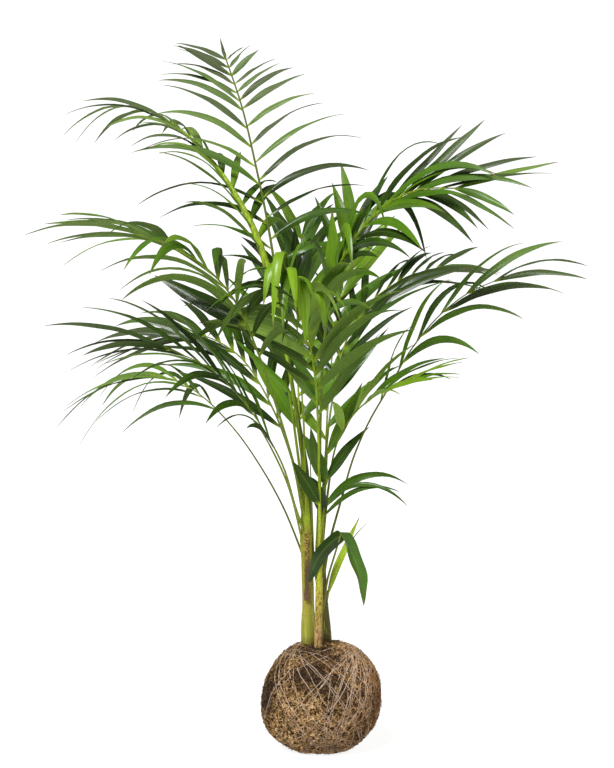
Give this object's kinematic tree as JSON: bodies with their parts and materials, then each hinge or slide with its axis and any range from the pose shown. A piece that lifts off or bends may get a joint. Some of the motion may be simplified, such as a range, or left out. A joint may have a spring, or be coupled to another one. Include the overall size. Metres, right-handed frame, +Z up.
{
  "type": "potless palm with a thread-bound root ball",
  "caption": "Feather palm with arching fronds on slim canes, growing from a round coir root ball wound with thread, with no pot. It stands on the ball's flat foot.",
  "frame": {"origin": "middle of the root ball's flat foot, on the surface that it stands on", "axes": "+Z up along the canes, front of the plant towards -Y, +X to the right"},
  "size_m": [0.6968, 0.6062, 0.9399],
  "materials": {
    "coir": "rough brown coir fibre and peat",
    "thread": "grey-brown natural twine",
    "cane_green": "smooth living olive-green cane with ring scars",
    "cane_straw": "dry straw-coloured cane",
    "dry_sheath": "dry brown papery sheath",
    "leaf": "semi-gloss dark green living leaf with yellow-green stalks",
    "young_leaf": "semi-gloss yellow-green young leaf"
  },
  "bodies": {
    "root": {"root_ball": "coir", "binding_thread": "thread", "cane_left": "cane_green", "cane_middle": "cane_straw", "cane_right": "cane_green", "dry_sheath": "dry_sheath", "frond_crown": "leaf", "frond_upper_left": "leaf", "frond_upper_right": "leaf", "frond_far_right": "leaf", "frond_left_front": "leaf", "frond_low_left_back": "leaf", "frond_low_left_front": "leaf", "frond_left_back": "leaf", "frond_right_back": "leaf", "frond_low_right": "leaf", "frond_centre_front": "leaf", "frond_inner": "leaf", "frond_back_left": "leaf", "frond_back_right": "leaf", "frond_forked": "leaf", "frond_bright": "young_leaf"}
  },
  "joints": []
}
